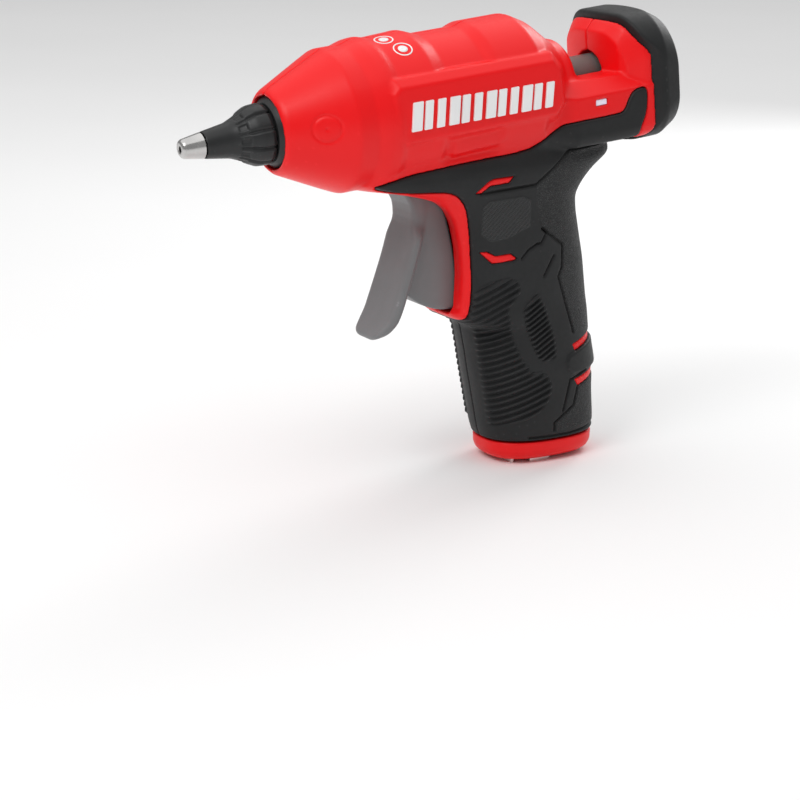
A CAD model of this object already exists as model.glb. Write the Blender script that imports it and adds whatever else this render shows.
"""The looks of a hot-melt glue gun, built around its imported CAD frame.

The moulded parts are drawn as distance fields on a grid of sample points and meshed from them,
so that their fillets, ribs and grooves are real geometry. Lengths are in millimetres until a
mesh is made, and the finished pieces are in metres like the frame.
"""
import functools
import math

import bmesh
import bpy
import numpy as np
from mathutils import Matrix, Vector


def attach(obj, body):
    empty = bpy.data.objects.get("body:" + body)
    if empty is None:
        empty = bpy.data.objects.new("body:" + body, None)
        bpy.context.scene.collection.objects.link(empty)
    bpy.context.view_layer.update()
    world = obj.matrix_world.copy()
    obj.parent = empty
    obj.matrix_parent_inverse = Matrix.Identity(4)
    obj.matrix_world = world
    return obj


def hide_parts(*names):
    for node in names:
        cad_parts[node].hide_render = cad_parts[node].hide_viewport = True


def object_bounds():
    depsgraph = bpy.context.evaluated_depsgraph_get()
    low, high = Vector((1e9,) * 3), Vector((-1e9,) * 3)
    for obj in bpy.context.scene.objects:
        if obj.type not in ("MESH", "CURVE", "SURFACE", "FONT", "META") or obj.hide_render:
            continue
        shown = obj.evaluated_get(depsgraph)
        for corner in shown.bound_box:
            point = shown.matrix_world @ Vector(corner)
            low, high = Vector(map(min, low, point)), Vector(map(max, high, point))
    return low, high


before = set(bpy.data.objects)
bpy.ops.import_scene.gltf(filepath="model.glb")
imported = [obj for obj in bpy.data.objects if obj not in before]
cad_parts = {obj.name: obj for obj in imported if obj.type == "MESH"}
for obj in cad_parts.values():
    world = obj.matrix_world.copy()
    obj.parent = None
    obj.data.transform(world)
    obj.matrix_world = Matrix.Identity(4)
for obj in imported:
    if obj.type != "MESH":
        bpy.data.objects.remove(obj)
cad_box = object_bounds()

import openvdb
from mathutils import Matrix, Vector

MM = 0.001

# ---- Driving dimensions (mm) ----
TIP = (-124.3, 0.0, 109.4)
PITCH = math.radians(5.5)

# Barrel outline: distance from the tip along the axis, and radius.
BARREL = [
    (28.6, 11.9), (29.9, 13.1), (43.5, 19.6), (48.7, 22.0), (54.6, 22.0), (58.7, 23.2), (61.8, 23.5),
    (64.2, 22.8), (73.6, 23.2), (76.1, 23.4), (81.0, 21.6), (95.0, 21.6), (98.4, 22.9), (113.4, 23.0),
    (118.6, 20.4), (123.6, 16.3), (127.1, 13.3), (130.6, 12.4), (132.6, 10.4),
]
# Grip: height, front, rear and half-width of its oval section.
GRIP = [
    (6.4, -19.8, 20.0, 14.8), (10.5, -21.2, 20.2, 15.3), (20, -23.0, 19.6, 15.6), (30, -25.0, 19.8, 15.8),
    (37, -26.2, 18.4, 15.8), (46.6, -28.2, 17.6, 15.8), (48.6, -34.2, 17.5, 16.0), (50.4, -37.2, 17.2, 16.1),
    (53, -37.4, 16.8, 16.1), (65, -36.8, 14.9, 16.6), (73, -37.4, 13.0, 17.0), (81, -39.2, 11.2, 17.5),
    (86, -42.0, 10.8, 18.0), (89.5, -48.0, 12.0, 18.4), (92, -60.0, 13.8, 18.8), (94, -67.0, 15.6, 19.0),
    (97, -66.0, 19.5, 19.2), (99.5, -64.0, 23.0, 18.7), (105, -56.0, 20.0, 15.0),
]
# How square the grip's corners are: height, front, rear.
GRIP_CORNERS = [
    (6, 2.4, 2.5), (45, 2.4, 2.3), (49, 4.4, 2.3), (52, 5.0, 2.3), (86, 5.5, 2.5), (93, 3.6, 3.2),
    (105, 3.4, 3.4),
]
# Rear deck, guard and bumper: distance along the axis, underside, top and half-width.
DECK = [(100, -14, 0.8, 14), (126, -20.2, 0.8, 20.6), (158, -20.2, 0.8, 20.6)]
GUARD = [
    (144.5, -9, 13.2, 16.8), (147.2, -10.5, 16.2, 20.0), (149.6, -11, 17.1, 20.4),
    (157, -13, 17.4, 20.4), (163.5, -17, 15.8, 19.0),
]
BUMPER = [
    (146.0, -20.9, 18.0, 21.6), (150.6, -21.9, 18.9, 22.4), (159.5, -21.9, 18.9, 22.4),
    (165.5, -19.6, 15.8, 20.4), (168.0, -15.5, 12.0, 16.4),
]
BUMPER_START = 148.3
DECK_EDGE_R = (4.5, 4.5)
DECK_HALF = 19.5
GUARD_EDGE_R = (10.5, 8.5)
BUMPER_EDGE_R = (13.5, 11.0)
REAR_CROWN = 0.005
# Raised side panel and the small boss below it: distance along and above the axis.
PANEL = [
    (57.8, -4.4), (58.2, 9.4), (61.6, 12.9), (117.5, 12.6), (121.2, 7.6), (121.8, -4.0), (118.0, -8.8),
    (63.0, -9.0),
]
PANEL_Y = 23.1
PANEL_BEVEL = 2.6
BOSS_Y = 21.9
BOSS = [(79.3, -7.5), (100.4, -7.5), (100.8, -11.0), (98.0, -14.0), (81.0, -14.6), (79.0, -12.8)]

# Rubber cover, seen from the side (X, Z).
COVER = [
    (-67.5, 94.4), (-61.7, 97.1), (-52.5, 99.3), (-33.5, 101.2), (-15.3, 102.7), (-10.1, 105.1), (-5, 108.8),
    (-1.6, 110.5), (17.2, 112.2), (19.6, 113.1), (21.0, 116.6), (22.8, 119.3), (27.1, 120.2), (28.4, 118.8),
    (28.4, 112), (25.9, 106.4), (26, 90), (30, 9), (30, 6.6), (27, 6.6), (-40, 6.6), (-42, 47.8),
    (-36.4, 47.8), (-34.2, 49.6), (-33.2, 53.8), (-32.8, 62), (-34.2, 76.8), (-36.0, 84.9), (-38.0, 88.6),
    (-41.2, 91.4), (-46.2, 92.5), (-58.5, 92.5),
]
SKIN = 1.7  # thickness of the rubber
WALL = 2.2  # red wall of the nose
SHELL = 3.9  # red wall behind it, from which the rubber's seat is cut
WALL_RAMP = (50, 60)
GAP = 0.25
PROUD = 0.35
SEAM = 0.11
# Inside of the red halves: ranges along the axis, and radii of its holes.
HOLLOW = (31.5, 161.0)
CHANNEL = (129, 148)
CHANNEL_R = 8.3
BORE_R = 6.7
BORE_START = 120
REAR_MOUTH_R = 11.3
REAR_MOUTH_START = 158
INLET_R = 13.2
INLET_START = 160

SCREWS = [(-66, 131.2), (-61.5, 98.6), (-18, 136.2), (-19, 99.5), (24.6, 111.5), (-4, 76), (3, 44), (0, 18)]
SCREW_RECESS = 3.0
SCREW_SEAT = 8.0
BOSS_R = 4.2

MOUTH_R = 11.1
MOUTH_END = 45
NOSE_MARK = (39.8, 1.4)
NOSE_MARK_R = 3.9
SLOT = (-57.0, -30.0, 51.4, 97.0)
SLOT_HALF = 7.2
LINER_DISH = 1.6
LINER_Y = (14.0, 8.0)
# The trigger's hinge in the barrel's frame, its hub, arms and the carriage's pin they hold.
PIVOT = (71.7, -19.3)
HUB_R = 4.2
HUB_HALF = 12.8
HUB_ROOM = (4.7, 13.1)
HINGE_PIN_R = 2.3
ARM_R = 3.7
ARM_Y = 11.3
ARM_HALF = 1.5
ARM_LEAN = 3.75
CARRIAGE_PIN_R = 2.15
WEB_HALF = 6.6
FOOT_WALL = 1.8
FOOT_FLOOR = 3.6
LENS = {"s": 135.2, "h": -6.2, "length": 4.6, "height": 2.2, "floor": 16}
STICK_R = 5.6
STICK_RANGE = (49.5, 151.1)


# ---- Distance fields ----
def table(rows):
    """The columns of a list of rows."""
    return np.array(rows, np.float32).T


def soft_interp(t, xs, ys, reach=1.2):
    """Linear interpolation averaged over a short reach, so that a profile's corners are rounded."""
    offsets = np.linspace(-reach, reach, 7)
    return np.mean([np.interp(t + d, xs, ys) for d in offsets], axis=0).astype(np.float32)


def union(a, b, blend=0.0):
    """What is inside a or b, with a fillet where they meet."""
    if not blend:
        return np.minimum(a, b)
    k = np.maximum(blend - np.abs(a - b), 0) / blend
    return np.minimum(a, b) - k * k * (blend / 4)


def cut(a, b, blend):
    """What is inside both a and b."""
    return -union(-a, -b, blend)


def within(t, low, high):
    """Negative between low and high."""
    return np.maximum(low - t, t - high)


def smoothstep(low, high, t):
    t = np.clip((t - low) / (high - low), 0, 1)
    return t * t * (3 - 2 * t)


def line_distance(u, v, points):
    """Distance to an open chain of points in the plane."""
    best = None
    for (u0, v0), (u1, v1) in zip(points, points[1:]):
        du, dv = u1 - u0, v1 - v0
        t = np.clip(((u - u0) * du + (v - v0) * dv) / (du * du + dv * dv), 0, 1)
        d = np.hypot(u - u0 - t * du, v - v0 - t * dv)
        best = d if best is None else np.minimum(best, d)
    return best


def outline_distance(u, v, points):
    """Signed distance to a closed outline in the plane, negative inside."""
    closed = list(points) + [points[0]]
    inside = np.zeros(np.broadcast(u, v).shape, bool)
    for (u0, v0), (u1, v1) in zip(closed, closed[1:]):
        if v0 == v1:
            continue
        crosses = (v0 > v) != (v1 > v)
        inside ^= crosses & (u < (u1 - u0) * (v - v0) / (v1 - v0) + u0)
    return np.where(inside, -1, 1) * line_distance(u, v, closed)


def rounded(outline, rounds):
    """Corner cutting: each round replaces a corner by two points a quarter of the way along its sides."""
    for _ in range(rounds):
        made = []
        for (a, b), (c, d) in zip(outline, outline[1:] + outline[:1]):
            made += [(0.75 * a + 0.25 * c, 0.75 * b + 0.25 * d), (0.25 * a + 0.75 * c, 0.25 * b + 0.75 * d)]
        outline = made
    return outline


class Block:
    """Sample points every pitch mm in a box.

    s and h are a point's place along and above the barrel's axis.
    """

    def __init__(self, low, high, pitch, local=False):
        axes = [np.arange(a, b + pitch, pitch, dtype=np.float32) for a, b in zip(low, high)]
        self.low, self.pitch = np.array([a[0] for a in axes], np.float64), pitch
        self.x, self.y, self.z = axes[0][:, None, None], axes[1][None, :, None], axes[2][None, None, :]
        if local:
            self.s, self.h = self.x, self.z
        else:
            dx, dz = self.x - TIP[0], self.z - TIP[2]
            self.s = dx * math.cos(PITCH) + dz * math.sin(PITCH)
            self.h = dz * math.cos(PITCH) - dx * math.sin(PITCH)


def turned_field(b, profile, reach=0.6):
    """A profile of (s, radius) turned about the barrel's axis."""
    xs, rs = table(profile)
    radius = soft_interp(b.s, xs, rs, reach)
    slope = soft_interp(b.s + 0.5, xs, rs, reach) - soft_interp(b.s - 0.5, xs, rs, reach)
    side = (np.hypot(b.h, b.y) - radius) / np.sqrt(1 + slope * slope)
    return cut(side, within(b.s, profile[0][0], profile[-1][0]), 0.8)


def oval_field(b, rows, power, reach=1.6):
    """An upright column. power says how square the section's corners are, for its front and its rear half."""
    zs, fronts, rears, halves = table(rows)
    front, rear, half = (soft_interp(b.z, zs, v, reach) for v in (fronts, rears, halves))
    middle, length = (front + rear) / 2, (rear - front) / 2
    dx = b.x - middle
    power = np.where(dx < 0, power[0], power[1])
    shape = (np.abs(dx / length) ** power + np.abs(b.y / half) ** power) ** (1 / power) + 1e-4
    side = np.hypot(dx, b.y) * (1 - 1 / shape) * 0.95
    return cut(side, within(b.z, rows[0][0], rows[-1][0]), 0.8)


def box_field(b, rows, corner, sweep=None, ends=0.6, crown=0.0):
    """A box along the barrel's axis.

    corner is the radius of its upper and lower long edges, sweep moves its sections back with
    distance from the middle, and crown lets its top fall to both sides.
    """
    xs, lows, tops, halves = table(rows)
    s = b.s if sweep is None else b.s - sweep
    low, top, half = (soft_interp(s, xs, v, 0.5) for v in (lows, tops, halves))
    top = top - crown * b.y ** 2
    corner = np.where(b.h > (low + top) / 2, corner[0], corner[1])
    qh = np.abs(b.h - (low + top) / 2) - (top - low) / 2 + corner
    qy = np.abs(b.y) - half + corner
    side = np.hypot(np.maximum(qh, 0), np.maximum(qy, 0)) + np.minimum(np.maximum(qh, qy), 0) - corner
    return cut(side, np.maximum(rows[0][0] - s, b.s - rows[-1][0]), ends)


def plate_field(b, outline, level, bevel, crown=0.003):
    """A flat raised panel on both sides of the barrel with sloping edges."""
    d = outline_distance(b.s, b.h, outline)
    out = np.abs(b.y) - level + crown * (b.h - 1.5) ** 2
    return cut(cut(out, (d + out + bevel) * 0.7071, 0.5), d, 0.5)


def guard_sweep(b):
    """How far the guard's sections lie back at a distance from the middle."""
    return 2.4 * (np.abs(b.y) / 16) ** 2 + 0.35 * np.maximum(0, np.abs(b.y) - 14)


def bumper_edge(b):
    """Where the bumper's front edge lies along the axis: further back at the sides, most of all low down."""
    y = np.abs(b.y) / 20
    return BUMPER_START + 4.0 * y ** 2 + 3.0 * smoothstep(0, 1, (14 - b.h) / 9) * y ** 4


def gun_body(b):
    """The gun's outer skin, before covers, slots and windows."""
    barrel = turned_field(b, BARREL)
    heights, fronts, rears = table(GRIP_CORNERS)
    corners = [soft_interp(b.z, heights, v) for v in (fronts, rears)]
    grip = oval_field(b, GRIP, corners)
    deck = cut(box_field(b, DECK, DECK_EDGE_R), deck_chamfer(b), 0.4)
    guard = box_field(b, GUARD, GUARD_EDGE_R, guard_sweep(b), crown=REAR_CROWN)
    body = union(barrel, grip, 6)
    body = union(body, deck, 2.5)
    body = union(body, plate_field(b, PANEL, PANEL_Y, PANEL_BEVEL), 0.6)
    body = union(body, plate_field(b, BOSS, BOSS_Y, 1.4, 0.012), 0.8)
    return union(body, guard, 1.0)


def deck_chamfer(b):
    """The sloping flat along the deck's upper edges."""
    return (np.abs(b.y) - DECK_HALF + (b.h + 2.8) * 1.25) * 0.62


def cylinder(u, v, centre, radius):
    return np.hypot(u - centre[0], v - centre[1]) - radius


def prism(u, v, low, high, side, half):
    """A box between two corners in the plane, up to half away from the seam."""
    along = np.abs(u - (low[0] + high[0]) / 2) - (high[0] - low[0]) / 2
    across = np.abs(v - (low[1] + high[1]) / 2) - (high[1] - low[1]) / 2
    return np.maximum(np.maximum(along, across), side - half)


# ---- Relief of the rubber covers (X, Z) ----
CHEVRONS = [
    [(-34.6, 91.0), (-29.8, 94.7), (-28.0, 95.3), (-20.4, 95.6), (-22.3, 93.4), (-29.2, 93.0), (-32.2, 90.9)],
    [(-31.4, 72.1), (-28.6, 72.1), (-25.6, 70.4), (-20.1, 70.7), (-17.6, 68.9), (-18.8, 68.2), (-26.7, 67.9)],
]
REAR_BARS = [
    [(5.4, 37.7), (6.6, 35.2), (24.0, 39.8), (24.0, 42.3)],
    [(6.4, 25.8), (8.2, 23.3), (24.0, 26.8), (24.0, 29.3)],
]
REAR_BAR_END = 5.0  # distance from the seam at which a bar stops
HEX_PATCH = [
    (-31.2, 86.6), (-28.9, 88.1), (-17.0, 88.6), (-14.2, 87.5), (-13.7, 79.0), (-21.4, 75.9), (-28.1, 75.4),
    (-31.1, 77.8),
]
GROOVES = [
    [(-32.5, 90.9), (-12.3, 92.1), (0.9, 101.8), (20.6, 103.2), (34.0, 105.6)],
    [(-8.7, 77.6), (-6.9, 76.1), (-8.8, 72.8), (-10.3, 72.8), (-13.4, 71.2), (-15.9, 68.6)],
    [(-8.7, 77.6), (-0.1, 71.5), (0.1, 64.0), (-1.3, 61.0), (1.3, 54.5), (5.7, 41.8)],
    [(-3.5, 68.3), (-7.1, 62.0)],
    [(12.0, 28.2), (4.6, 26.0), (2.0, 15.8)],
    [(7.8, 22.9), (6.4, 17.3), (-1.2, 12.3), (-1.1, 9.6)],
    [(-9.8, 7.9), (5.0, 7.9), (30.0, 9.4)],
]
BACK_STRAP = [
    (-12.3, 92.1), (0.9, 101.8), (20.6, 103.2), (40, 106), (40, 42), (5.7, 41.8), (1.3, 54.5), (-1.3, 61.0),
    (0.1, 64.0), (-0.1, 71.5), (-8.7, 77.6), (-11.4, 86),
]
LOWER_STRAP = [(7.4, 23.4), (6.4, 17.3), (-1.2, 12.3), (-1.1, 9.6), (30, 9.6), (30, 26)]
BELT = [(2.6, 33.0), (5.0, 35.0), (24.0, 39.6), (24.0, 29.6), (5.6, 27.6), (3.2, 29.4)]
RIB_FIELDS = [
    {
        "outline": [
            (-40, 52.5), (-31.6, 60.2), (-24.9, 62.7), (-18.0, 62.3), (-15.6, 58.1), (-19.4, 54.2),
            (-20.9, 51.4), (-12.4, 30.6), (-5.3, 29.9), (-2.6, 24.4), (-5.4, 18.0), (-14, 13.2), (-40, 9.0),
        ],
        "slope": 0.42, "pitch": 2.24, "shift": 0.4,
    },
    {
        "outline": [(-8.7, 57.3), (-12.1, 54.3), (-15.1, 51.0), (-8.6, 34.8), (-5.8, 33.7), (-0.3, 34.9)],
        "slope": 0.62, "pitch": 2.0, "shift": 0.9,
    },
]
RIB_HEIGHT = 0.75
RIB_VALLEY = 0.45
RIB_FRONT = 7.0
BELT_HEIGHT = 0.7
HEX_HEIGHT = 0.22
GROOVE_DEPTH = 0.8
GROOVE_WIDTH = 0.40
CREASE_WIDTH = 0.38  # of the dark paint in a groove


def cover_relief(b):
    """How far the rubber's surface stands above the gun's skin."""
    x, z = b.x, b.z
    relief = np.full(np.broadcast(x, z).shape, PROUD, np.float32)
    relief += BELT_HEIGHT * smoothstep(0.6, -0.6, outline_distance(x, z, rounded(BELT, 1)))
    relief += HEX_HEIGHT * smoothstep(0.35, -0.35, outline_distance(x, z, HEX_PATCH))
    for line in GROOVES:
        relief -= GROOVE_DEPTH * np.exp(-(line_distance(x, z, line) / GROOVE_WIDTH) ** 2)
    ribs = np.zeros_like(relief)
    for rib in RIB_FIELDS:
        inside = smoothstep(0.5, -0.5, outline_distance(x, z, rounded(rib["outline"], 1)))
        phase = (z - rib["slope"] * x + rib["shift"]) / rib["pitch"]
        wave = np.cos(2 * math.pi * phase)
        ribs += inside * (RIB_HEIGHT * np.maximum(wave, 0) ** 0.8 + RIB_VALLEY * np.minimum(wave, 0))
    beside = smoothstep(RIB_FRONT - 1.5, RIB_FRONT + 1.5, np.abs(b.y))
    return relief + ribs * beside


def nearest(fields):
    """The union of many fields."""
    return functools.reduce(np.minimum, fields)


def window_distance(b):
    """The openings of the rubber through which the red shell shows."""
    chevrons = [outline_distance(b.x, b.z, outline) for outline in CHEVRONS]
    away = REAR_BAR_END - np.abs(b.y)
    bars = [np.maximum(outline_distance(b.x, b.z, outline), away) for outline in REAR_BARS]
    return nearest(chevrons + bars)


def screw_recess(b):
    """The holes over the screws' heads, on the right side."""
    return nearest(
        np.maximum(cylinder(b.x, b.z, centre, SCREW_RECESS), SCREW_SEAT - np.abs(b.y)) for centre in SCREWS
    )


def trigger_slot(b):
    """The trigger's opening in the front of the grip, and the room for its hub."""
    x0, x1, z0, z1 = SLOT
    slot = prism(b.x, b.z, (x0, z0), (x1, z1), np.abs(b.y), SLOT_HALF)
    px = TIP[0] + PIVOT[0] * math.cos(PITCH) - PIVOT[1] * math.sin(PITCH)
    pz = TIP[2] + PIVOT[0] * math.sin(PITCH) + PIVOT[1] * math.cos(PITCH)
    hub = np.maximum(cylinder(b.x, b.z, (px, pz), HUB_ROOM[0]), np.abs(b.y) - HUB_ROOM[1])
    return np.minimum(slot, hub)


def liner_dish(b):
    """How deep the red rim beside the trigger's slot is dished."""
    beside_slot = smoothstep(51, 54, b.z) * smoothstep(93, 88, b.z) * smoothstep(-26, -32, b.x)
    return LINER_DISH * smoothstep(*LINER_Y, np.abs(b.y)) * beside_slot


def red_shell(b):
    """The left and right housings in one field, hollow, with the seats of covers and bumper cut in."""
    body = gun_body(b)
    radius = np.hypot(b.h, b.y)
    cover = outline_distance(b.x, b.z, rounded(COVER, 1))
    seat = body + SKIN + GAP
    skin = cut(body, np.minimum(-cover, seat), 0.6)
    skin = cut(skin, np.minimum(b.s - bumper_edge(b) + GAP, seat), 0.6)
    windows = window_distance(b)
    skin = np.minimum(skin, np.maximum(np.maximum(windows + 0.1, body - 0.2), -body - SHELL))
    wall = WALL + (SHELL - WALL) * smoothstep(*WALL_RAMP, b.s)
    hollow = cut(body + wall, within(b.s, *HOLLOW), 1.0)
    screw_bosses = [np.maximum(cylinder(b.x, b.z, centre, BOSS_R), body) for centre in SCREWS]
    solid = nearest([np.maximum(radius - CHANNEL_R, within(b.s, *CHANNEL))] + screw_bosses)
    shell = np.maximum(skin, -hollow)
    shell = np.minimum(shell, np.maximum(solid, skin))
    bore = np.maximum(radius - BORE_R, BORE_START - b.s)
    rear = np.maximum(radius - REAR_MOUTH_R, REAR_MOUTH_START - b.s)
    mouth = np.maximum(radius - MOUTH_R, b.s - MOUTH_END)
    for hole in (bore, rear, mouth):
        shell = cut(shell, -hole, 0.4)
    shell = np.maximum(shell, body + liner_dish(b))
    shell = cut(shell, -trigger_slot(b), 1.0)
    dot = np.hypot(b.s - NOSE_MARK[0], b.h - NOSE_MARK[1])
    ring = np.abs(dot - NOSE_MARK_R)
    return shell + 0.4 * np.exp(-(np.minimum(ring, dot) / 0.4) ** 2)


def lens_window(b):
    along = np.abs(b.s - LENS["s"]) - LENS["length"] / 2
    above = np.abs(b.h - LENS["h"]) - LENS["height"] / 2
    return np.maximum(np.maximum(along, above), LENS["floor"] - np.abs(b.y))


def rubber_cover(b):
    """Both rubber covers in one field, with their relief and windows."""
    body = gun_body(b)
    outline = outline_distance(b.x, b.z, rounded(COVER, 1)) + 0.15
    top = body - cover_relief(b)
    skin = cut(top, outline, 1.0)
    skin = np.maximum(skin, -(body + SKIN))
    skin = cut(skin, -window_distance(b), 0.5)
    behind = b.s - bumper_edge(b) + GAP
    skin = np.maximum(skin, np.minimum(behind, outline + 3.0))
    return cut(skin, -(trigger_slot(b) - 0.2), 0.8)


def bumper_field(b):
    """The rubber boot over the rear of the guard, open in the middle for the glue stick."""
    outer = box_field(b, BUMPER, BUMPER_EDGE_R, ends=2.0, crown=REAR_CROWN)
    edge = bumper_edge(b) - b.s
    outer = cut(outer, edge, 0.9)
    inlet = np.hypot(b.h, b.y) - INLET_R + np.maximum(0, INLET_START - b.s)
    inner = union(gun_body(b) + SKIN, inlet)
    cover = outline_distance(b.x, b.z, rounded(COVER, 1)) - 0.3
    return cut(np.maximum(outer, -inner), -cover, 0.4)


def foot_field(b):
    """The band that closes the grip's end, hollow from above."""
    rows = [
        (0, -17.4, 17.8, 12.4), (1.4, -18.9, 19.2, 14.0), (3.0, -19.5, 19.8, 14.5), (6.2, -19.6, 19.9, 14.7),
    ]
    cap = oval_field(b, rows, (2.6, 2.6), 0.4)
    hollow = np.maximum(cap + FOOT_WALL, FOOT_FLOOR - b.z)
    return np.maximum(cap, -hollow)


def blade_field(b):
    """The trigger's curved blade and the web behind it, as outlines (X, Z) with rounded edges."""
    blade = [
        (-48.2, 92), (-49.2, 86), (-49.7, 80), (-52.1, 71), (-55.0, 62.6), (-57.9, 54.5), (-60.2, 50.4),
        (-63.4, 46.8), (-63.5, 45.4), (-61.4, 44.9), (-58.6, 46.4), (-55.6, 50.2), (-54.0, 54.0),
        (-51.2, 62.6), (-48.3, 71.4), (-46.4, 78), (-45.2, 84), (-44.6, 92),
    ]
    web = [
        (-53.5, 97), (-53.2, 92), (-48.4, 84), (-50.6, 74), (-53.6, 64.4), (-53.2, 61.4), (-51.2, 58.6),
        (-47, 55.5), (-43, 53.5), (-37, 52.2), (-32.5, 53), (-33, 62), (-35, 74), (-38.2, 86), (-42.5, 92.5),
        (-47, 97),
    ]
    plan = [(44.9, 4.0), (46.6, 7.6), (50, 9.3), (56, 9.8), (76.5, 9.5), (79, 8.3), (80.8, 6.7), (93, 6.5)]
    heights, halves = table(plan)  # the blade's half-width at a height
    half = soft_interp(b.z, heights, halves, 1.2)
    front = cut(outline_distance(b.x, b.z, rounded(blade, 2)), np.abs(b.y) - half, 2.4)
    back = cut(outline_distance(b.x, b.z, rounded(web, 2)), np.abs(b.y) - WEB_HALF, 1.4)
    return union(front, back, 1.6)


def arm_field(b):
    """The trigger's hub and two arms, up to the slots that hold the carriage's pins."""
    s0, h0 = PIVOT
    arms = line_distance(b.s, b.h, [(s0, h0), (s0 + ARM_LEAN, 1.0)]) - ARM_R
    plate = cut(arms, np.abs(np.abs(b.y) - ARM_Y) - ARM_HALF, 0.8)
    pin = np.hypot(b.s - s0 - ARM_LEAN, b.h) - CARRIAGE_PIN_R
    slot = line_distance(b.s, b.h, [(s0 + 3.4, -1.6), (s0 + 4.1, 2.2)]) - CARRIAGE_PIN_R
    hinge = np.hypot(b.s - s0, b.h - h0)
    hub = cut(hinge - HUB_R, np.abs(b.y) - HUB_HALF, 0.8)
    hub = np.maximum(hub, -(hinge - HINGE_PIN_R))
    return np.minimum(np.maximum(plate, -np.minimum(pin, slot)), hub)


# ---- Meshes ----
def mesh_object(name, points, faces):
    """A smooth-shaded object from points in metres and faces with equal numbers of corners."""
    mesh = bpy.data.meshes.new(name)
    count, sides = faces.shape
    mesh.vertices.add(len(points))
    mesh.vertices.foreach_set("co", np.asarray(points, np.float32).ravel())
    mesh.loops.add(count * sides)
    mesh.loops.foreach_set("vertex_index", faces.astype(np.int32).ravel())
    mesh.polygons.add(count)
    mesh.polygons.foreach_set("loop_start", np.arange(0, count * sides, sides, dtype=np.int32))
    mesh.polygons.foreach_set("use_smooth", np.ones(count, bool))
    mesh.update(calc_edges=True)
    mesh.validate()
    obj = bpy.data.objects.new(name, mesh)
    bpy.context.scene.collection.objects.link(obj)
    return obj


def meshed(block, values):
    """Points (mm) and quads of a field's surface, without the small crumbs that a grid can leave."""
    grid = openvdb.FloatGrid()
    grid.copyFromArray(np.ascontiguousarray(values, np.float32))
    points, _, quads = grid.convertToPolygons(0.0, 0.0)
    points = points.astype(np.float64) * block.pitch + block.low
    return keep_largest(points, quads.astype(np.int64))


def keep_largest(points, quads):
    """The largest connected piece of a mesh: each point takes the lowest label it can reach."""
    label = np.arange(len(points))
    ends = np.vstack([quads[:, [0, 1]], quads[:, [1, 2]], quads[:, [2, 3]]])
    while True:
        low = np.minimum(label[ends[:, 0]], label[ends[:, 1]])
        before = label.copy()
        np.minimum.at(label, ends[:, 0], low)
        np.minimum.at(label, ends[:, 1], low)
        label = label[label]
        label = label[label]
        if np.array_equal(before, label):
            break
    roots, counts = np.unique(label, return_counts=True)
    keep = label == roots[np.argmax(counts)]
    index = np.cumsum(keep) - 1
    return points[keep], index[quads[keep[quads[:, 0]]]]


def mirrored(points, quads):
    """The same surface on the other side of the seam, still facing out."""
    return points * np.array([1, -1, 1]), quads[:, ::-1]


BARREL_MATRIX = Matrix.Translation(Vector(TIP)) @ Matrix.Rotation(-PITCH, 4, "Y")


def to_world(points):
    """Barrel-frame points (mm) to the part's frame."""
    m = np.array(BARREL_MATRIX)
    return points @ m[:3, :3].T + m[:3, 3]


def turned(name, profile, sides=96, angle=30):
    """A closed profile of (s, r) turned about the barrel's axis."""
    turn = np.linspace(0, 2 * math.pi, sides, endpoint=False)
    rows = np.array(profile, np.float64)
    points = np.stack([
        np.repeat(rows[:, 0], sides),
        np.outer(rows[:, 1], np.cos(turn)).ravel(),
        np.outer(rows[:, 1], np.sin(turn)).ravel(),
    ], axis=1)
    i, j = np.meshgrid(np.arange(len(rows)), np.arange(sides), indexing="ij")
    i2, j2 = (i + 1) % len(rows), (j + 1) % sides
    quads = np.stack([i * sides + j, i2 * sides + j, i2 * sides + j2, i * sides + j2], axis=-1).reshape(-1, 4)
    obj = mesh_object(name, to_world(points) * MM, quads)
    face_outward(obj)
    obj.data.set_sharp_from_angle(angle=math.radians(angle))
    return obj


def face_outward(obj):
    """Make the faces of a closed mesh point out."""
    work = bmesh.new()
    work.from_mesh(obj.data)
    bmesh.ops.recalc_face_normals(work, faces=work.faces)
    work.to_mesh(obj.data)
    work.free()


def paint(obj, name, values):
    attribute = obj.data.attributes.new(name, "FLOAT", "POINT")
    attribute.data.foreach_set("value", np.asarray(values, np.float32))


def settle(obj, body, look, *nodes):
    """Give a piece its look, its body, and the CAD nodes it stands for."""
    obj.data.materials.clear()
    obj.data.materials.append(LOOKS[look])
    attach(obj, body)
    if nodes:
        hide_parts(*nodes)


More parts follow.
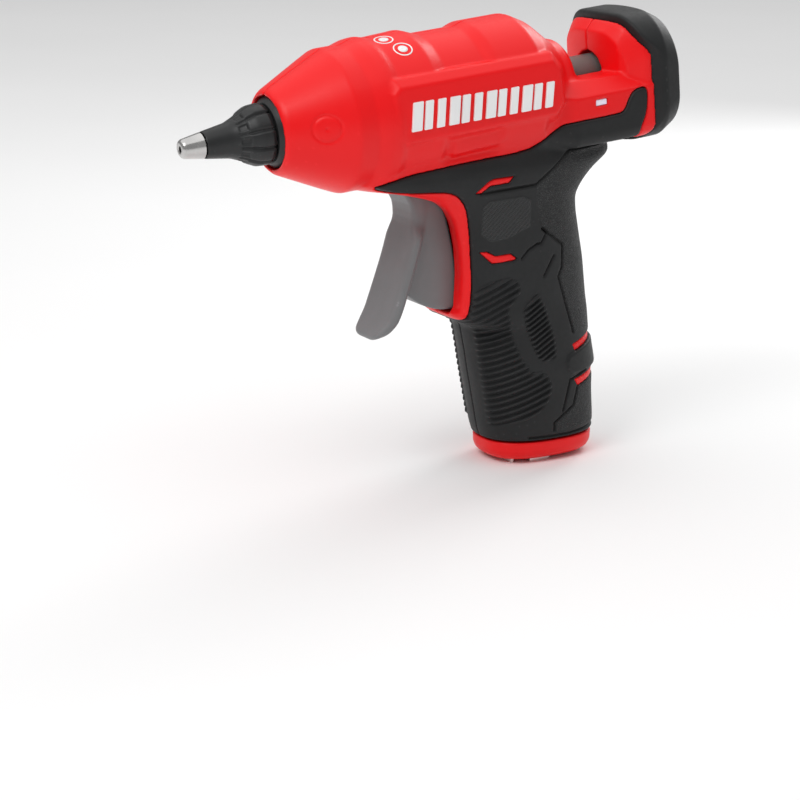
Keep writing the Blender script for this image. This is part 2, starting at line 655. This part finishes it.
# ---- Materials ----
class Look:
    """A node material with short names for the nodes it uses."""

    def __init__(self, name, **fixed):
        self.material = bpy.data.materials.new(name)
        self.material.use_nodes = True
        self.tree = self.material.node_tree
        self.bsdf = self.tree.nodes["Principled BSDF"]
        self.place = self.node("ShaderNodeTexCoord").outputs["Object"]
        for socket, value in fixed.items():
            self.bsdf.inputs[socket.replace("_", " ")].default_value = value

    def node(self, kind, **settings):
        made = self.tree.nodes.new(kind)
        for key, value in settings.items():
            setattr(made, key, value)
        return made

    def link(self, a, b):
        self.tree.links.new(a, b)

    def mapped(self, rotation=(0, 0, 0), scale=(1, 1, 1)):
        m = self.node("ShaderNodeMapping")
        m.inputs["Rotation"].default_value = rotation
        m.inputs["Scale"].default_value = scale
        self.link(self.place, m.inputs["Vector"])
        return m.outputs["Vector"]

    def noise(self, scale, detail=3.0, roughness=0.55, vector=None):
        n = self.node("ShaderNodeTexNoise")
        n.inputs["Scale"].default_value = scale
        n.inputs["Detail"].default_value = detail
        n.inputs["Roughness"].default_value = roughness
        self.link(vector or self.place, n.inputs["Vector"])
        return n.outputs["Fac"]

    def cells(self, scale):
        n = self.node("ShaderNodeTexVoronoi", feature="DISTANCE_TO_EDGE")
        n.inputs["Scale"].default_value = scale
        self.link(self.place, n.inputs["Vector"])
        return n.outputs["Distance"]

    def bands(self, scale, direction, vector):
        n = self.node("ShaderNodeTexWave", bands_direction=direction)
        n.inputs["Scale"].default_value = scale
        self.link(vector, n.inputs["Vector"])
        return n.outputs["Fac"]

    def ramp(self, value, first, last):
        """Colour or grey between two stops, each a place and a colour."""
        r = self.node("ShaderNodeValToRGB")
        for element, (place, colour) in zip(r.color_ramp.elements, (first, last)):
            element.position, element.color = place, grey(colour)
        self.link(value, r.inputs["Fac"])
        return r.outputs["Color"]

    def math(self, operation, a, b):
        m = self.node("ShaderNodeMath", operation=operation)
        for socket, value in zip(m.inputs, (a, b)):
            if isinstance(value, (int, float)):
                socket.default_value = value
            else:
                self.link(value, socket)
        return m.outputs[0]

    def mix(self, factor, a, b):
        """Colour between a and b. Each is a socket, a number or a colour."""
        m = self.node("ShaderNodeMix", data_type="RGBA", blend_type="MIX")
        for socket, value in ((m.inputs[0], factor), (m.inputs[6], a), (m.inputs[7], b)):
            if isinstance(value, (int, float)):
                socket.default_value = value
            elif isinstance(value, tuple):
                socket.default_value = grey(value)
            else:
                self.link(value, socket)
        return m.outputs[2]

    def attribute(self, name):
        return self.node("ShaderNodeAttribute", attribute_name=name).outputs["Fac"]

    def wear(self):
        return self.node("ShaderNodeNewGeometry").outputs["Pointiness"]

    def bump(self, height, distance, strength, under=None):
        """A normal bent by a height. distance is in millimetres, and under is the normal it starts from."""
        n = self.node("ShaderNodeBump")
        n.inputs["Distance"].default_value = distance * MM
        n.inputs["Strength"].default_value = strength
        self.link(height, n.inputs["Height"])
        if under is not None:
            self.link(under, n.inputs["Normal"])
        return n.outputs["Normal"]

    def finish(self, colour, roughness, normal=None):
        self.link(colour, self.bsdf.inputs["Base Color"])
        self.link(roughness, self.bsdf.inputs["Roughness"])
        if normal is not None:
            self.link(normal, self.bsdf.inputs["Normal"])
        return self.material


def grey(colour):
    """A number as a grey, or a colour with its alpha."""
    if isinstance(colour, (int, float)):
        return (colour, colour, colour, 1)
    return (*colour, 1)


def red_plastic():
    look = Look("red_shell", Coat_Weight=0.04, Coat_Roughness=0.2, Specular_IOR_Level=0.28)
    cloud = look.noise(14, 2)
    colour = look.ramp(cloud, (0.3, (0.86, 0.0035, 0.0055)), (0.7, (0.92, 0.005, 0.0075)))
    edge = look.ramp(look.wear(), (0.53, 0.0), (0.62, 0.35))
    colour = look.mix(edge, colour, (0.98, 0.02, 0.024))
    rough = look.ramp(look.noise(900, 4), (0.3, 0.34), (0.7, 0.43))
    spark = look.bump(look.noise(3200, 3), 0.012, 0.6)
    normal = look.bump(look.noise(160, 2), 0.03, 0.25, spark)
    return look.finish(colour, rough, normal)


def rubber():
    look = Look("rubber", Specular_IOR_Level=0.3, Sheen_Weight=0.03, Sheen_Roughness=0.5)
    grain, knurl = look.attribute("grain"), look.attribute("knurl")
    colour = look.ramp(look.noise(60, 3), (0.3, (0.010, 0.0105, 0.011)), (0.7, (0.014, 0.0148, 0.0155)))
    colour = look.mix(knurl, colour, (0.042, 0.043, 0.044))
    colour = look.mix(look.attribute("crease"), colour, (0.002, 0.002, 0.002))
    dust = look.ramp(look.wear(), (0.52, 0.0), (0.64, 0.5))
    colour = look.mix(dust, colour, (0.034, 0.035, 0.036))
    pebble = look.ramp(look.cells(1500), (0.0, 0.0), (0.32, 1.0))
    wrinkle = look.math("MULTIPLY", pebble, look.noise(500, 2))
    leather = look.math("MULTIPLY", wrinkle, grain)
    crosses = look.math(
        "ADD",
        look.bands(620, "X", look.mapped((0, math.radians(32), 0))),
        look.bands(620, "Z", look.mapped((0, math.radians(-32), 0))),
    )
    knurled = look.math("MULTIPLY", crosses, knurl)
    fine = look.bump(look.noise(2600, 3), 0.02, 0.5)
    normal = look.bump(leather, 0.45, 0.9, fine)
    normal = look.bump(knurled, 0.25, 0.9, normal)
    speck = look.math("MULTIPLY", leather, 0.9)
    colour = look.mix(speck, colour, (0.060, 0.061, 0.062))
    rough = look.ramp(look.noise(700, 3), (0.3, 0.48), (0.7, 0.58))
    return look.finish(colour, rough, normal)


def plain(name, light, dark, rough, fine=2600, depth=0.015, **fixed):
    """A moulded, cast or fired surface: cloudy colour, mottled roughness, fine grain and worn edges."""
    look = Look(name, **fixed)
    colour = look.ramp(look.noise(55, 3), (0.3, dark), (0.7, light))
    edge = look.ramp(look.wear(), (0.53, 0.0), (0.63, 0.4))
    colour = look.mix(edge, colour, tuple(min(1.0, 1.45 * c + 0.02) for c in light))
    mottled = look.ramp(look.noise(800, 3), (0.3, rough - 0.05), (0.7, rough + 0.05))
    return look.finish(colour, mottled, look.bump(look.noise(fine, 3), depth, 0.6))


def turned_metal(name, light, dark, rough):
    """Turned metal: fine tool rings around the barrel's axis."""
    look = Look(name, Metallic=1.0)
    along = look.mapped((0, PITCH, 0), (1, 0.06, 0.06))
    rings = look.noise(2400, 2, 0.6, along)
    colour = look.ramp(look.noise(90, 3), (0.3, dark), (0.7, light))
    mottled = look.ramp(rings, (0.3, rough - 0.06), (0.7, rough + 0.08))
    return look.finish(colour, mottled, look.bump(rings, 0.01, 0.5))


def glue():
    look = Look("glue", Subsurface_Weight=0.35, Subsurface_Scale=0.004, Transmission_Weight=0.12, IOR=1.48)
    colour = look.ramp(look.noise(70, 3), (0.3, (0.155, 0.17, 0.16)), (0.7, (0.20, 0.215, 0.205)))
    rough = look.ramp(look.noise(300, 3), (0.3, 0.30), (0.7, 0.42))
    scuffs = look.noise(900, 3, 0.6, look.mapped((0, PITCH, 0), (0.12, 1, 1)))
    return look.finish(colour, rough, look.bump(scuffs, 0.03, 0.4))


def lens():
    look = Look("lens", Emission_Strength=0.12, Transmission_Weight=0.1)
    colour = look.ramp(look.noise(400, 2), (0.3, (0.80, 0.79, 0.98)), (0.7, (0.93, 0.93, 1.0)))
    look.link(colour, look.bsdf.inputs["Emission Color"])
    rough = look.ramp(look.noise(1200, 2), (0.3, 0.16), (0.7, 0.26))
    return look.finish(colour, rough, look.bump(look.noise(1500, 2), 0.02, 0.4))


LOOKS = {
    "red_shell": red_plastic(),
    "rubber": rubber(),
    "grey_plastic": plain(
        "grey_plastic", (0.205, 0.207, 0.212), (0.175, 0.177, 0.181), 0.40, Specular_IOR_Level=0.35,
    ),
    "black_plastic": plain(
        "black_plastic", (0.018, 0.019, 0.020), (0.012, 0.0125, 0.013), 0.42, Specular_IOR_Level=0.4,
    ),
    "silicone": plain("silicone", (0.55, 0.50, 0.44), (0.47, 0.43, 0.38), 0.60),
    "steel": turned_metal("steel", (0.60, 0.59, 0.58), (0.46, 0.455, 0.45), 0.20),
    "spring_steel": turned_metal("spring_steel", (0.56, 0.57, 0.59), (0.46, 0.47, 0.49), 0.30),
    "aluminium": plain("aluminium", (0.63, 0.65, 0.67), (0.53, 0.55, 0.57), 0.42, 1500, 0.05, Metallic=1.0),
    "brass": plain("brass", (0.66, 0.66, 0.64), (0.52, 0.52, 0.50), 0.30, 2200, 0.02, Metallic=1.0),
    "ceramic": plain("ceramic", (0.85, 0.83, 0.78), (0.76, 0.74, 0.69), 0.62),
    "glue": glue(),
    "circuit_board": plain("circuit_board", (0.05, 0.21, 0.10), (0.03, 0.14, 0.07), 0.35),
    "lens": lens(),
    "white_print": plain("white_print", (0.90, 0.90, 0.90), (0.83, 0.83, 0.83), 0.36),
    "lead_sleeve": plain("lead_sleeve", (0.70, 0.66, 0.58), (0.58, 0.54, 0.47), 0.75),
}


# ---- Pieces ----
RED_PITCH = 0.42
RUBBER_PITCH = 0.3
SMALL_PITCH = 0.25


def make_housings():
    block = Block((-97.5, -24.6, 3.5), (43.5, 0.9, 146.5), RED_PITCH)
    field = red_shell(block)
    left = cut(np.maximum(field, -lens_window(block)), block.y + SEAM, 0.5)
    right = cut(cut(field, -screw_recess(block), 0.3), block.y + SEAM, 0.5)
    points, quads = meshed(block, left)
    settle(mesh_object("left_housing_shell", points * MM, quads), "gun", "red_shell", "left_housing")
    points, quads = mirrored(*meshed(block, right))
    settle(mesh_object("right_housing_shell", points * MM, quads), "gun", "red_shell", "right_housing")


def mask(points, outline):
    """1 for the points inside an outline seen from the side, 0 for the others."""
    return smoothstep(0.4, -0.4, outline_distance(points[:, 0], points[:, 2], outline))


def make_covers():
    block = Block((-69.5, -22.6, 5.0), (33.0, 0.9, 122.0), RUBBER_PITCH)
    field = rubber_cover(block)
    for side, node in ((-1, "left_grip"), (1, "right_grip")):
        shape = field if side < 0 else cut(field, -screw_recess(block), 0.4)
        points, quads = meshed(block, cut(shape, block.y + SEAM, 0.4))
        grain = np.maximum(mask(points, BACK_STRAP), mask(points, LOWER_STRAP))
        knurl = mask(points, HEX_PATCH)
        side_on = points[:, 0], points[:, 2]
        crease = sum(np.exp(-(line_distance(*side_on, line) / CREASE_WIDTH) ** 2) for line in GROOVES)
        if side > 0:
            points, quads = mirrored(points, quads)
        obj = mesh_object(node + "_cover", points * MM, quads)
        paint(obj, "grain", grain)
        paint(obj, "knurl", knurl)
        paint(obj, "crease", crease)
        settle(obj, "gun", "rubber", node)


def make_bumper():
    block = Block((20.5, -24.2, 96.0), (47.5, 24.2, 148.5), 0.36)
    points, quads = meshed(block, bumper_field(block))
    settle(mesh_object("rear_bumper_boot", points * MM, quads), "gun", "rubber", "rear_bumper")


def make_foot():
    block = Block((-21.5, -16.2, -1.0), (21.5, 16.2, 7.6), 0.3)
    points, quads = meshed(block, foot_field(block))
    settle(mesh_object("foot_cap_band", points * MM, quads), "gun", "red_shell", "foot_cap")


def make_trigger():
    block = Block((-66, -14.2, 43), (-30.5, 14.2, 116), SMALL_PITCH + 0.1)
    points, quads = meshed(block, union(blade_field(block), arm_field(block), 1.0))
    settle(mesh_object("trigger_lever", points * MM, quads), "trigger", "grey_plastic", "trigger")


def sleeve_field(b):
    """The nozzle's heat sleeve: a cone with ten grooves, a ring of pockets and raised pads."""
    profile = [(7.1, 4.0), (15.5, 5.35), (19.0, 6.9), (23, 8.8), (27.6, 9.1)]
    radius = np.hypot(b.h, b.y)
    turn = np.arctan2(b.y, b.h)
    outer = turned_field(b, profile, 0.8)
    behind = smoothstep(16.5, 18.0, b.s)
    grooves = np.exp(-(np.sin(turn * 5) * radius / 5 / 0.35) ** 2)
    pocket_row = smoothstep(0.35, 0.15, np.abs(b.s - 18.6) - 0.9)
    pockets = pocket_row * smoothstep(0.2, -0.2, np.abs(np.cos(turn * 5)) * 0.9 - 0.55)
    pad_row = smoothstep(19.6, 20.4, b.s) * smoothstep(27.0, 26.2, b.s)
    pads = pad_row * smoothstep(0.25, 0.6, np.abs(np.sin(turn * 5)))
    outer = outer + 0.5 * grooves * behind + 0.35 * pockets - 0.28 * pads
    inner = np.maximum(radius - 3.75, b.s - 20)
    rear = np.maximum(radius - soft_interp(b.s, [19, 20.2, 27.6], [3.75, 6.2, 7.3], 0.2), 19.4 - b.s)
    return np.maximum(np.maximum(outer, -inner), -rear)


def make_nozzle():
    tip = [
        (0.25, 0.95), (0.0, 1.25), (0.0, 1.9), (0.12, 2.25), (0.4, 2.6), (0.9, 2.92), (1.5, 3.05),
        (6.8, 3.95), (6.8, 3.2), (22, 3.2), (22, 2.2), (17.5, 2.2), (17, 1.0), (14.2, 1.0), (12.6, 2.3),
        (3.8, 2.3), (3, 0.9),
    ]
    settle(turned("nozzle_tip_cone", tip, 128, 40), "gun", "steel", "nozzle_tip")
    block = Block((6.0, -10.4, -10.4), (28.6, 10.4, 10.4), SMALL_PITCH - 0.03, local=True)
    points, quads = meshed(block, sleeve_field(block))
    sleeve = mesh_object("nozzle_sleeve_boot", to_world(points) * MM, quads)
    settle(sleeve, "gun", "black_plastic", "nozzle_sleeve")
    collar = [
        (28.0, 7.4), (28.0, 9.2), (28.3, 9.5), (29.3, 10.4), (29.9, 10.8), (33, 10.8), (33, 12.0),
        (35, 12.0), (35, 7.4),
    ]
    settle(turned("nozzle_collar_ring", collar, 128), "gun", "black_plastic", "nozzle_collar")


def make_stick():
    s0, s1 = STICK_RANGE
    profile = [
        (s0, 0.02), (s0, 4.7), (s0 + 0.3, 5.3), (s0 + 0.9, STICK_R), (100, STICK_R), (s1 - 0.7, STICK_R),
        (s1 - 0.2, 5.4), (s1, 4.9), (s1, 0.02),
    ]
    settle(turned("glue_stick_rod", profile, 96, 50), "stick", "glue", "glue_stick")


def make_inlet_ring():
    profile = [
        (159.2, 7.0), (159.2, 10.8), (163.6, 10.8), (163.6, 12.3), (163.9, 12.6), (165.2, 12.6),
        (165.6, 12.2), (165.6, 10.0), (165.3, 9.5), (162.6, 7.2), (162.0, 7.0),
    ]
    settle(turned("rear_inlet_collar", profile, 96), "gun", "black_plastic", "rear_inlet_ring")


def bevelled_plates(name, plates, y0, y1, bevel=0.16):
    """Small raised plates with eased edges, each an outline of (s, h) in the barrel's frame."""
    work = bmesh.new()
    for outline in plates:
        lower = [work.verts.new((s, y0, h)) for s, h in outline]
        upper = [work.verts.new((s, y1, h)) for s, h in outline]
        work.faces.new(lower)
        work.faces.new(upper[::-1])
        for i in range(len(outline)):
            j = (i + 1) % len(outline)
            work.faces.new((lower[i], upper[i], upper[j], lower[j]))
    bmesh.ops.recalc_face_normals(work, faces=work.faces)
    bmesh.ops.bevel(work, geom=work.edges[:], offset=bevel, segments=2, affect="EDGES")
    mesh = bpy.data.meshes.new(name)
    work.to_mesh(mesh)
    work.free()
    mesh.transform(Matrix.Scale(MM, 4) @ BARREL_MATRIX)
    obj = bpy.data.objects.new(name, mesh)
    bpy.context.scene.collection.objects.link(obj)
    return obj


def make_badges():
    """A generic row of slanted bars, raised on each side panel."""
    start, end, count, lean = 64.6, 116.2, 12, 1.3
    step = (end - start) / count
    bars = []
    for i in range(count):
        s = start + i * step
        low, high = -3.0 - 0.06 * i, 5.6 - 0.14 * i
        wide = step * (0.62 if i % 3 else 0.8)
        bars.append([(s, low), (s + wide, low), (s + wide + lean, high), (s + lean, high)])
    for side, node in ((-1, "left_badge"), (1, "right_badge")):
        y0, y1 = side * (PANEL_Y - 0.1), side * (PANEL_Y + 0.75)
        badge = bevelled_plates(node + "_bars", bars, min(y0, y1), max(y0, y1))
        settle(badge, "gun", "white_print", node)


def make_top_marks():
    """Two small generic printed rings on the left shoulder of the barrel."""
    xs, rs = table(BARREL)
    points, quads = [], []
    for s0, lean in ((70.3, 31.0), (67.6, 13.5)):
        for outer, inner in ((3.0, 2.6), (1.5, 0.02)):
            sides = 64
            base = len(points)
            for k in range(sides):
                a = 2 * math.pi * k / sides
                for radius, lift in ((inner, -0.2), (inner, 0.09), (outer, 0.09), (outer, -0.2)):
                    s = s0 + radius * math.cos(a)
                    turn = math.radians(lean) + radius * math.sin(a) / 23.0
                    r = float(soft_interp(s, xs, rs, 0.6)) + lift
                    points.append((s, -r * math.sin(turn), r * math.cos(turn)))
            for k in range(sides):
                for i in range(4):
                    a, b = base + 4 * k + i, base + 4 * k + (i + 1) % 4
                    c, d = base + 4 * ((k + 1) % sides) + (i + 1) % 4, base + 4 * ((k + 1) % sides) + i
                    quads.append((a, b, c, d))
    obj = mesh_object("top_marks", to_world(np.array(points)) * MM, np.array(quads))
    face_outward(obj)
    settle(obj, "gun", "white_print")


def make_lens():
    s, h = LENS["s"], LENS["h"]
    ds, dh = LENS["length"] / 2 - 0.25, LENS["height"] / 2 - 0.25
    corners = [(s - ds, h - dh), (s + ds, h - dh), (s + ds, h + dh), (s - ds, h + dh)]
    lens_plate = bevelled_plates("indicator_window", [corners], -20.0, -16.3, 0.14)
    settle(lens_plate, "gun", "lens", "indicator_lens")


def dress_frame():
    """The CAD nodes that stay get the same looks as the pieces."""
    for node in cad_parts.values():
        for place in node.material_slots:
            place.material = LOOKS[place.material.name]
        node.data.polygons.foreach_set("use_smooth", np.ones(len(node.data.polygons), bool))
        node.data.set_sharp_from_angle(angle=math.radians(35))


# ---- Stage ----
def floor():
    low = cad_box[0].z
    work = bmesh.new()
    bmesh.ops.create_grid(work, x_segments=8, y_segments=8, size=4.0)
    mesh = bpy.data.meshes.new("floor")
    work.to_mesh(mesh)
    work.free()
    obj = bpy.data.objects.new("floor", mesh)
    obj.location.z = low
    bpy.context.scene.collection.objects.link(obj)
    look = Look("floor", Specular_IOR_Level=0.1)
    colour = look.ramp(look.noise(3, 2), (0.3, 0.90), (0.7, 0.92))
    obj.data.materials.append(look.finish(colour, look.ramp(look.noise(40, 2), (0.3, 0.85), (0.7, 0.9))))


def area_light(name, place, aim, size, power, colour=(1, 1, 1)):
    data = bpy.data.lights.new(name, "AREA")
    data.shape, data.size, data.size_y = "RECTANGLE", size[0], size[1]
    data.energy, data.color = power, colour
    obj = bpy.data.objects.new(name, data)
    obj.location = place
    obj.rotation_euler = (Vector(aim) - Vector(place)).to_track_quat("-Z", "Y").to_euler()
    bpy.context.scene.collection.objects.link(obj)


def stage():
    scene = bpy.context.scene
    scene.view_settings.view_transform = "Standard"
    world = bpy.data.worlds.new("studio")
    world.use_nodes = True
    world.node_tree.nodes["Background"].inputs["Color"].default_value = (1, 1, 1, 1)
    world.node_tree.nodes["Background"].inputs["Strength"].default_value = 0.38
    scene.world = world
    middle = (-0.04, 0.0, 0.08)
    area_light("overhead", (-0.1, 0.3, 1.7), (0.0, 0.3, 0.0), (3.2, 3.6), 30.0)
    area_light("key", (-0.60, -0.25, 0.70), middle, (0.35, 0.35), 2.2)
    area_light("rear_rim", (0.55, 0.30, 0.40), middle, (0.25, 0.5), 1.6)
    camera = bpy.data.cameras.new("camera")
    camera.lens, camera.sensor_width = 94.5, 36.0
    camera.clip_start = 0.01
    obj = bpy.data.objects.new("camera", camera)
    obj.location = (-0.37207, -0.55728, 0.20769)
    obj.rotation_euler = (math.radians(74), 0, math.radians(-30))
    scene.collection.objects.link(obj)
    scene.camera = obj
    floor()


make_housings()
make_covers()
make_bumper()
make_foot()
make_trigger()
make_nozzle()
make_stick()
make_inlet_ring()
make_badges()
make_top_marks()
make_lens()
dress_frame()
stage()
